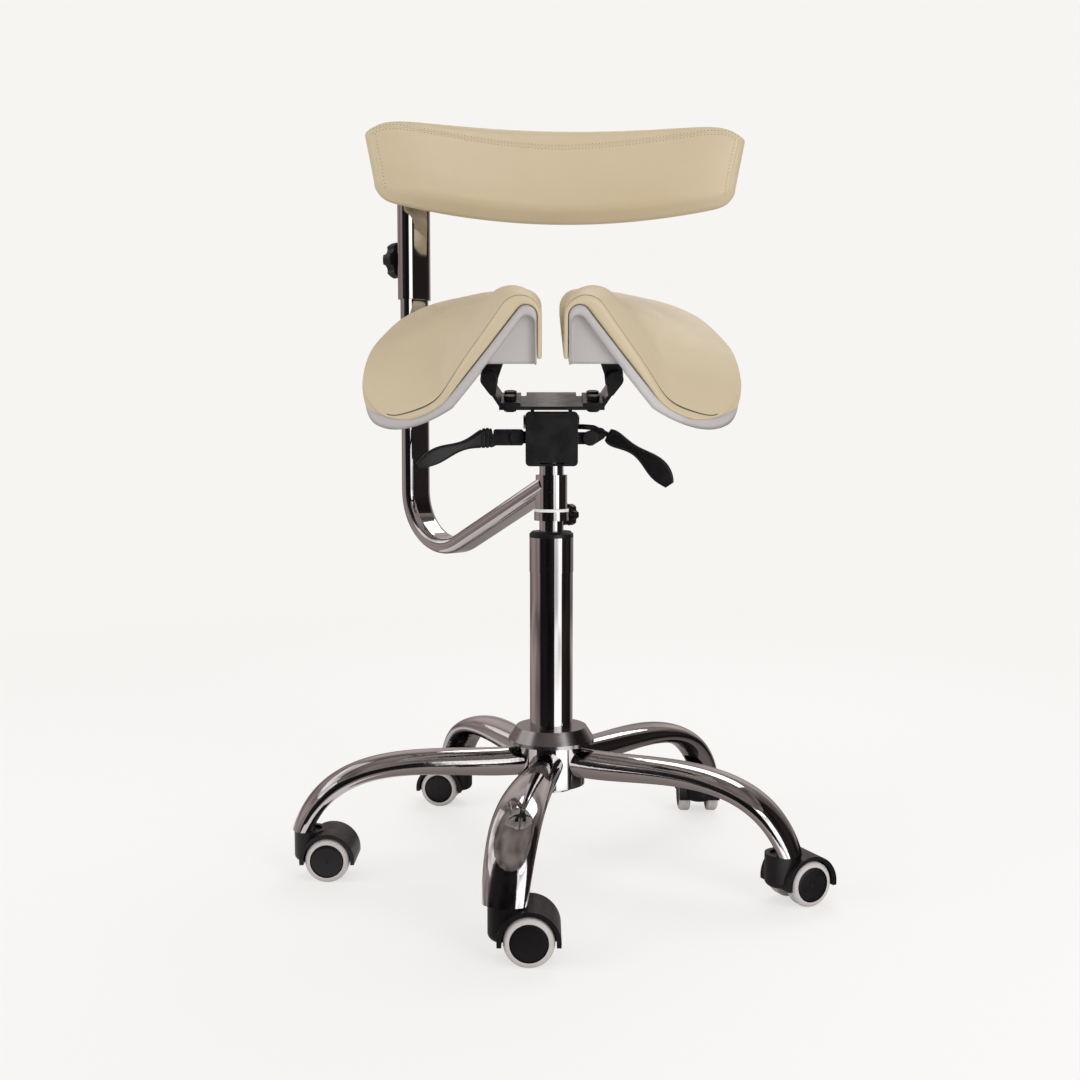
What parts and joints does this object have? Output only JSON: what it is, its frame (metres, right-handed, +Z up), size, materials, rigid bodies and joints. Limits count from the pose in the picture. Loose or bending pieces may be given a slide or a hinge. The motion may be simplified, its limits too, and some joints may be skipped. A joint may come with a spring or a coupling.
{
  "type": "ergonomic saddle stool",
  "caption": "Wheeled stool with a split saddle seat, gas lift, tilt levers and a curved padded backrest on a swinging side arm.",
  "frame": {"origin": "on the floor under the gas column's axis", "axes": "+Z up along the column, -Y to the front of the seat, +X to the sitter's left, which is on the right of the picture"},
  "size_m": [0.6034, 0.5866, 0.8809],
  "materials": {
    "chrome": "polished",
    "black_plastic": "fine grain",
    "black_steel": "satin",
    "steel": "turned",
    "grey_shell": "gloss",
    "beige_leatherette": "fine grain",
    "wheel": "soft tread on a black disc"
  },
  "bodies": {
    "base": {"base_hub": "chrome", "hub_cover": "chrome", "caster_stems": "steel", "column_tube": "chrome", "column_bush": "black_plastic", "thrust_bearing": "steel", "base_leg_1": "chrome", "base_leg_2": "chrome", "base_leg_3": "chrome", "base_leg_4": "chrome", "base_leg_5": "chrome"},
    "rod": {"piston_rod": "steel", "rod_clip": "steel"},
    "lift": {"pressure_tube": "chrome", "clamp_ring": "chrome", "arm_washer": "chrome", "mechanism_housing": "black_steel", "taper_socket": "steel", "tilt_axle": "steel", "lever_pins": "black_steel"},
    "valve": {"valve_pin": "steel"},
    "clamp_knob": {"clamp_knob": "black_plastic"},
    "height_lever": {"height_lever_rod": "black_steel", "height_lever_grip": "black_plastic"},
    "tilt_lever": {"tilt_lever_plate": "black_steel", "tilt_lever_grip": "black_plastic"},
    "carrier": {"tilt_plate": "black_steel", "plate_bolts": "black_steel", "hinge_brackets": "black_steel", "hinge_pins": "black_steel"},
    "seat_left": {"seat_mount_left": "black_steel", "seat_shell_left": "grey_shell", "seat_cushion_left": "beige_leatherette"},
    "seat_right": {"seat_mount_right": "black_steel", "seat_shell_right": "grey_shell", "seat_cushion_right": "beige_leatherette"},
    "arm": {"arm_collar": "chrome", "arm_bush": "black_plastic", "arm_tube": "chrome"},
    "backrest": {"backrest_sleeve": "chrome", "backrest_bracket": "black_steel", "backrest_screws": "steel", "backrest_board": "beige_leatherette", "backrest_cushion": "beige_leatherette"},
    "backrest_knob": {"backrest_knob": "black_plastic"},
    "caster_1": {"caster_1_housing": "black_plastic"},
    "wheel_1a": {"caster_1_wheel_a": "wheel"},
    "wheel_1b": {"caster_1_wheel_b": "wheel"},
    "caster_2": {"caster_2_housing": "black_plastic"},
    "wheel_2a": {"caster_2_wheel_a": "wheel"},
    "wheel_2b": {"caster_2_wheel_b": "wheel"},
    "caster_3": {"caster_3_housing": "black_plastic"},
    "wheel_3a": {"caster_3_wheel_a": "wheel"},
    "wheel_3b": {"caster_3_wheel_b": "wheel"},
    "caster_4": {"caster_4_housing": "black_plastic"},
    "wheel_4a": {"caster_4_wheel_a": "wheel"},
    "wheel_4b": {"caster_4_wheel_b": "wheel"},
    "caster_5": {"caster_5_housing": "black_plastic"},
    "wheel_5a": {"caster_5_wheel_a": "wheel"},
    "wheel_5b": {"caster_5_wheel_b": "wheel"}
  },
  "joints": [
    {"name": "swivel", "type": "hinge", "parent": "base", "child": "rod", "pos_m": [0, 0, 0.2], "axis": [0, 0, 1], "continuous": true},
    {"name": "height", "type": "slide", "parent": "rod", "child": "lift", "axis": [0, 0, 1], "range_m": [-0.01, 0.13]},
    {"name": "arm_swing", "type": "hinge", "parent": "lift", "child": "arm", "pos_m": [0, 0, 0.44], "axis": [0, 0, 1], "range_deg": [-20, 200]},
    {"name": "backrest_height", "type": "slide", "parent": "arm", "child": "backrest", "axis": [0, 0, 1], "range_m": [-0.05, 0.05]},
    {"name": "seat_tilt", "type": "hinge", "parent": "lift", "child": "carrier", "pos_m": [0, 0.024, 0.52], "axis": [1, 0, 0], "range_deg": [-18, 2]},
    {"name": "seat_left_hinge", "type": "hinge", "parent": "carrier", "child": "seat_left", "pos_m": [-0.07, -0.01246, 0.57398], "axis": [0, 0.9744, 0.225], "range_deg": [-5, 5], "stiffness_Nm_per_rad": 60},
    {"name": "seat_right_hinge", "type": "hinge", "parent": "carrier", "child": "seat_right", "pos_m": [0.07, -0.01246, 0.57398], "axis": [0, 0.9744, 0.225], "range_deg": [-5, 5], "stiffness_Nm_per_rad": 60},
    {"name": "height_lever", "type": "hinge", "parent": "lift", "child": "height_lever", "pos_m": [0.0435, -0.02, 0.501], "axis": [0, -1, 0], "range_deg": [0, 6.5], "stiffness_Nm_per_rad": 2, "springref_deg": -5.73},
    {"name": "valve_press", "type": "slide", "parent": "lift", "child": "valve", "axis": [0, 0, -1], "range_m": [0, 0.0046]},
    {"name": "tilt_lever", "type": "hinge", "parent": "lift", "child": "tilt_lever", "pos_m": [-0.039, -0.02, 0.502], "axis": [0, 1, 0], "range_deg": [0, 10], "stiffness_Nm_per_rad": 2, "springref_deg": -5.73},
    {"name": "clamp_knob_turn", "type": "hinge", "parent": "lift", "child": "clamp_knob", "pos_m": [0.01723, 0.02053, 0.41155], "axis": [0.6428, 0.766, 0], "continuous": true},
    {"name": "backrest_knob_turn", "type": "hinge", "parent": "backrest", "child": "backrest_knob", "pos_m": [-0.18777, 0.19444, 0.72805], "axis": [-0.6947, 0.7193, 0], "continuous": true},
    {"name": "caster_1_swivel", "type": "hinge", "parent": "base", "child": "caster_1", "pos_m": [-0.04557, -0.27525, 0.04], "axis": [0, 0, 1], "continuous": true},
    {"name": "wheel_1a_roll", "type": "hinge", "parent": "caster_1", "child": "wheel_1a", "pos_m": [-0.02357, -0.27525, 0.025], "axis": [0, 1, 0], "continuous": true},
    {"name": "wheel_1b_roll", "type": "hinge", "parent": "caster_1", "child": "wheel_1b", "pos_m": [-0.02357, -0.27525, 0.025], "axis": [0, 1, 0], "continuous": true},
    {"name": "caster_2_swivel", "type": "hinge", "parent": "base", "child": "caster_2", "pos_m": [0.2477, -0.1284, 0.04], "axis": [0, 0, 1], "continuous": true},
    {"name": "wheel_2a_roll", "type": "hinge", "parent": "caster_2", "child": "wheel_2a", "pos_m": [0.26764, -0.1191, 0.025], "axis": [-0.4226, 0.9063, 0], "continuous": true},
    {"name": "wheel_2b_roll", "type": "hinge", "parent": "caster_2", "child": "wheel_2b", "pos_m": [0.26764, -0.1191, 0.025], "axis": [-0.4226, 0.9063, 0], "continuous": true},
    {"name": "caster_3_swivel", "type": "hinge", "parent": "base", "child": "caster_3", "pos_m": [0.19865, 0.1959, 0.04], "axis": [0, 0, 1], "continuous": true},
    {"name": "wheel_3a_roll", "type": "hinge", "parent": "caster_3", "child": "wheel_3a", "pos_m": [0.19865, 0.2179, 0.025], "axis": [-1, 0, 0], "continuous": true},
    {"name": "wheel_3b_roll", "type": "hinge", "parent": "caster_3", "child": "wheel_3b", "pos_m": [0.19865, 0.2179, 0.025], "axis": [-1, 0, 0], "continuous": true},
    {"name": "caster_4_swivel", "type": "hinge", "parent": "base", "child": "caster_4", "pos_m": [-0.12492, 0.24947, 0.04], "axis": [0, 0, 1], "continuous": true},
    {"name": "wheel_4a_roll", "type": "hinge", "parent": "caster_4", "child": "wheel_4a", "pos_m": [-0.14659, 0.25329, 0.025], "axis": [-0.1736, -0.9848, 0], "continuous": true},
    {"name": "wheel_4b_roll", "type": "hinge", "parent": "caster_4", "child": "wheel_4b", "pos_m": [-0.14659, 0.25329, 0.025], "axis": [-0.1736, -0.9848, 0], "continuous": true},
    {"name": "caster_5_swivel", "type": "hinge", "parent": "base", "child": "caster_5", "pos_m": [-0.27586, -0.04172, 0.04], "axis": [0, 0, 1], "continuous": true},
    {"name": "wheel_5a_roll", "type": "hinge", "parent": "caster_5", "child": "wheel_5a", "pos_m": [-0.25386, -0.04172, 0.025], "axis": [0, 1, 0], "continuous": true},
    {"name": "wheel_5b_roll", "type": "hinge", "parent": "caster_5", "child": "wheel_5b", "pos_m": [-0.25386, -0.04172, 0.025], "axis": [0, 1, 0], "continuous": true}
  ],
  "couplings": [
    {"joint": "valve_press", "follows": "height_lever", "m_per_rad": 0.04}
  ]
}
